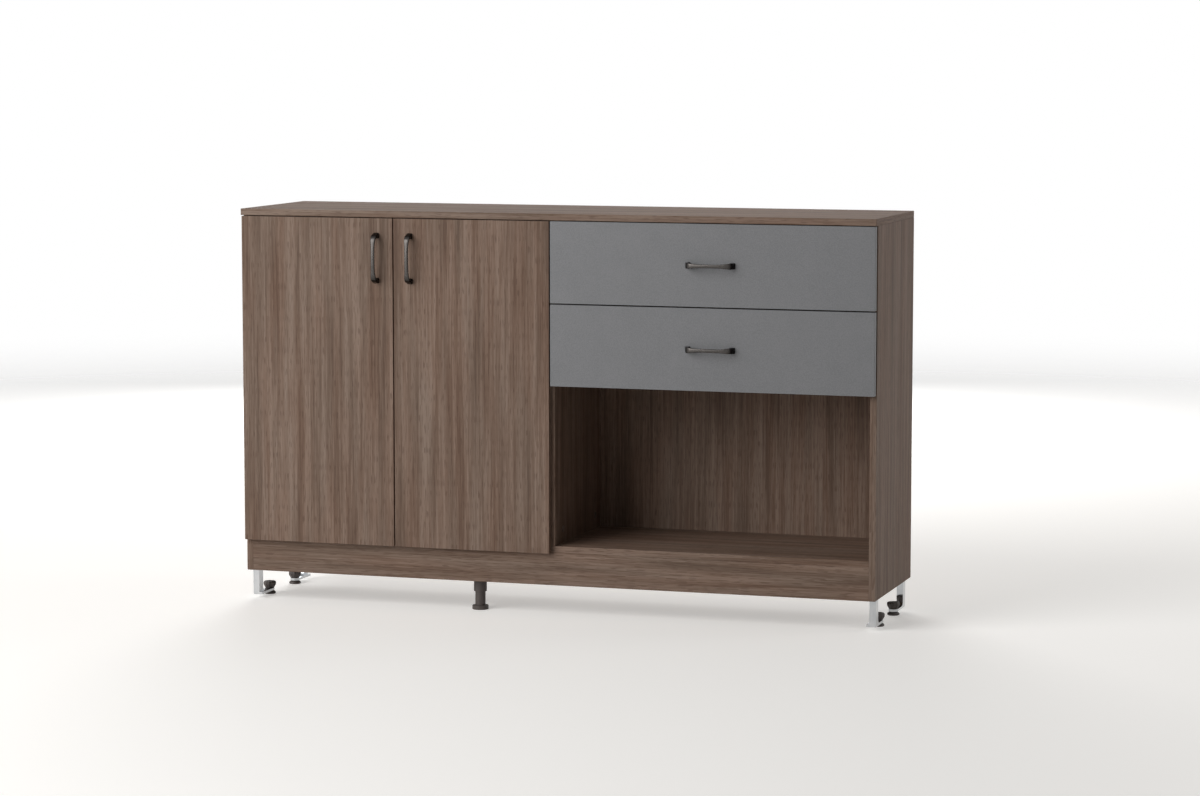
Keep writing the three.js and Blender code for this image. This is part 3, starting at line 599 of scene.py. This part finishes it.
# Hinge screws: two in each cup's flange, two in each plate, two adjusters on each arm. Distances in mm.
hingeScrews = {"cup": 22.5, "plate": 12.0, "plateBack": 48.0, "plateTop": 5.0,
               "adjusters": (40.0, 54.0), "armTop": 13.0}
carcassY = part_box("partition_panel")[0].y
for side, facing, sign in (("left", "+X", 1), ("right", "-X", -1)):
    door = side + "_door"
    cups, plates, adjusters = [], [], []
    for level in ("lower", "upper"):
        low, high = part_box(f"{side}_door_{level}_hinge_cup")
        middle = (low + high) / 2
        for up in (-1, 1):
            cups.append((middle.x, high.y, middle.z + up * hingeScrews["cup"] * mm))
        low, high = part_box(f"{side}_door_{level}_hinge_arm")
        wallX = low.x if sign > 0 else high.x
        middleZ = (low.z + high.z) / 2
        plateX = wallX + sign * hingeScrews["plateTop"] * mm
        plateY = carcassY + hingeScrews["plateBack"] * mm
        for up in (-1, 1):
            plates.append((plateX, plateY, middleZ + up * hingeScrews["plate"] * mm))
        armX = wallX + sign * hingeScrews["armTop"] * mm
        for back in hingeScrews["adjusters"]:
            adjusters.append((armX, carcassY + back * mm, middleZ))
    setParts(door + "_cup_screws", "flatScrew", cups, "+Y", screwZinc, door)
    setParts(door + "_plate_screws", "panScrew", plates, facing, screwZinc, "carcass")
    setParts(door + "_arm_adjusters", "flatScrew", adjusters, facing, screwZinc, "carcass")

# Screws that hold the handles, seen from behind. Distances in mm.
handleScrews = {"fromMiddle": 55.5}
for body, front in (("left_door", "left_door"), ("right_door", "right_door"),
                    ("lower_drawer", "lower_drawer_front"), ("upper_drawer", "upper_drawer_front")):
    low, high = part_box(body + "_handle")
    middle, rear = (low + high) / 2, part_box(front)[1].y
    step = Vector((0, 0, 1)) if high.z - low.z > high.x - low.x else Vector((1, 0, 0))
    behind = Vector((middle.x, rear, middle.z))
    places = [behind + way * handleScrews["fromMiddle"] * mm * step for way in (-1, 1)]
    setParts(body + "_handle_screws", "panScrew", places, "+Y", screwZinc, body)

# Screws through the tabs of the legs into the sides. Distances in mm.
legScrews = {"up": (14, 38), "half": 12.0, "tab": 4.0}
for end in ("front", "rear"):
    for side, facing, sign in (("left", "+X", 1), ("right", "-X", -1)):
        low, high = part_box(f"{end}_{side}_leg")
        sideLow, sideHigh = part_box(f"{side}_side_panel")
        tabX = (sideHigh.x if sign > 0 else sideLow.x) + sign * legScrews["tab"] * mm
        tabY = low.y + legScrews["half"] * mm if end == "front" else high.y - legScrews["half"] * mm
        places = [(tabX, tabY, sideLow.z + up * mm) for up in legScrews["up"]]
        setParts(f"{end}_{side}_leg_screws", "panScrew", places, facing, screwZinc, "carcass")

# Cam fasteners and screws of the drawer boxes, bumper dots of the fronts. Distances in mm.
drawerFixings = {"camBack": 34.0, "camUp": (55.0, 140.0), "screwIn": 6.0, "screwUp": (48.0, 150.0),
                 "dotDown": 14.0, "dotIn": (3.7, 7.0)}
for drawer in ("lower", "upper"):
    body = drawer + "_drawer"
    frontLow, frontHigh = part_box(body + "_front")
    for side, inside, outside, inner in (("left", "+X", "-X", 1), ("right", "-X", "+X", 0)):
        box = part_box(f"{body}_{side}_side")
        innerX, outerX = box[inner].x, box[1 - inner].x
        camY = frontHigh.y + drawerFixings["camBack"] * mm
        screwY = box[1].y - drawerFixings["screwIn"] * mm
        cams = [(innerX, camY, frontLow.z + up * mm) for up in drawerFixings["camUp"]]
        setParts(f"{body}_{side}_cams", "cam", cams, inside, screwZinc, body)
        screws = [(outerX, screwY, frontLow.z + up * mm) for up in drawerFixings["screwUp"]]
        setParts(f"{body}_{side}_screws", "flatScrew", screws, outside, screwZinc, body)
    leftIn, rightIn = drawerFixings["dotIn"]
    dotZ = frontHigh.z - drawerFixings["dotDown"] * mm
    dots = [(frontLow.x + leftIn * mm, frontHigh.y, dotZ), (frontHigh.x - rightIn * mm, frontHigh.y, dotZ)]
    setParts(body + "_dots", "doorDot", dots, "+Y", dotPlastic, body)

# Bumper dots of the doors, at their lower free corner. Distances in mm.
doorDots = {"up": 9.0, "in": 14.0}
for side, edge, sign in (("left", 1, -1), ("right", 0, 1)):
    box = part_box(side + "_door")
    place = (box[edge].x + sign * doorDots["in"] * mm, box[1].y, box[0].z + doorDots["up"] * mm)
    setParts(side + "_door_dot", "doorDot", [place], "+Y", dotPlastic, side + "_door")

# Cover caps over the carcass fasteners: distances in mm from the joint and from the front and rear edge
coverCaps = {"fromJoint": 34.0, "fromFront": 60.0, "fromRear": 46.0, "topBoard": 16}
inset = coverCaps["fromJoint"] * mm
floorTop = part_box("bottom_panel")[1].z
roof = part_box("top_panel")[1].z - coverCaps["topBoard"] * mm
partition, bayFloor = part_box("partition_panel"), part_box("drawer_bay_floor_panel")
capDepths = (partition[0].y + coverCaps["fromFront"] * mm, partition[1].y - coverCaps["fromRear"] * mm)
lowCap, highCap = floorTop + inset, roof - inset
roofCaps = (bayFloor[0].x + inset, bayFloor[1].x - inset)
leftInner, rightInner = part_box("left_side_panel")[1].x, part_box("right_side_panel")[0].x
capRows = {
    "cupboard_left": ("+X", [(leftInner, y, z) for y in capDepths for z in (lowCap, highCap)]),
    "cupboard_right": ("-X", [(partition[0].x, y, z) for y in capDepths for z in (lowCap, highCap)]),
    "compartment_left": ("+X", [(partition[1].x, y, lowCap) for y in capDepths]),
    "compartment_right": ("-X", [(rightInner, y, lowCap) for y in capDepths]),
    "compartment_roof": ("-Z", [(x, y, bayFloor[0].z) for y in capDepths for x in roofCaps]),
}
for row, (facing, places) in capRows.items():
    setParts(row + "_caps", "coverCap", places, facing, capPlastic, "carcass")
print("fixings set")


# Matt floor paint: pale, keeps the shadow and fades into the white surroundings. Distances in m.
# To the eye and to gloss it glows a little, but it is no brighter as a light.
stage = {"radius": 14.0, "segments": 96, "fade": (2.2, 8.0), "floor": "#f0eeeb", "glow": 0.42}
shape = bmesh.new()
bmesh.ops.create_circle(shape, cap_ends=True, segments=stage["segments"], radius=stage["radius"])
floorMesh = bpy.data.meshes.new("floor")
shape.to_mesh(floorMesh)
shape.free()
floor = bpy.data.objects.new("floor", floorMesh)
scene.collection.objects.link(floor)
floorPaint, floorShader = newMaterial(
    "mattFloorPaint", Roughness=0.75, Specular_IOR_Level=0.2,
    Base_Color=linear(stage["floor"]), Emission_Color=linear(stage["floor"]))
coords = addNode(floorPaint, "ShaderNodeTexCoord").outputs["Object"]
distance = addNode(floorPaint, "ShaderNodeVectorMath", {0: coords}, operation="LENGTH")
fade = addNode(floorPaint, "ShaderNodeMapRange",
               dict(enumerate((distance.outputs["Value"], *stage["fade"], 1.0, 0.0))),
               interpolation_type="SMOOTHSTEP")
path = addNode(floorPaint, "ShaderNodeLightPath")
seen = addNode(floorPaint, "ShaderNodeMath",
               {0: path.outputs["Is Camera Ray"], 1: path.outputs["Is Glossy Ray"]}, operation="MAXIMUM")
glow = addNode(floorPaint, "ShaderNodeMath", {0: seen.outputs[0], 1: stage["glow"]}, operation="MULTIPLY")
feedShader(floorPaint, floorShader, Emission_Strength=glow.outputs[0], Alpha=fade.outputs[0])
floorMesh.materials.append(floorPaint)

# Soft studio light: white surroundings to the eye and to gloss, dimmer as a light
surroundings = {"colour": "#ffffff", "light": 0.08}
world = bpy.data.worlds.new("surroundings")
scene.world = world
world.use_nodes = True
backdrop = world.node_tree.nodes["Background"]
backdrop.inputs["Color"].default_value = linear(surroundings["colour"])
path = addNode(world, "ShaderNodeLightPath")
seen = path.outputs["Is Camera Ray"]
for ray in ("Is Glossy Ray", "Is Transmission Ray"):
    seen = addNode(world, "ShaderNodeMath", {0: seen, 1: path.outputs[ray]}, operation="MAXIMUM").outputs[0]
strength = addNode(world, "ShaderNodeMapRange",
                   dict(enumerate((seen, *fullRange, surroundings["light"], 1.0))))
feedShader(world, backdrop, Strength=strength.outputs[0])

# Round lamps, aimed at the middle of the part: place and size in m, power in W
lamps = {
    "keyLamp": {"place": (-3.2, -4.6, 2.9), "size": 5.4, "power": 294},
    "sideLamp": {"place": (5.2, 2.2, 2.0), "size": 2.4, "power": 34},
    "rearLamp": {"place": (-1.6, 4.6, 1.9), "size": 3.0, "power": 190},
}
aim = (cadBox[0] + cadBox[1]) / 2
for name, v in lamps.items():
    lampData = bpy.data.lights.new(name, "AREA")
    lampData.shape = "DISK"
    lampData.size = v["size"]
    lampData.energy = v["power"]
    lamp = bpy.data.objects.new(name, lampData)
    lamp.location = v["place"]
    lamp.rotation_euler = (aim - Vector(v["place"])).to_track_quat("-Z", "Y").to_euler()
    lamp.visible_glossy = name == "keyLamp"
    scene.collection.objects.link(lamp)
print("stage and light set")
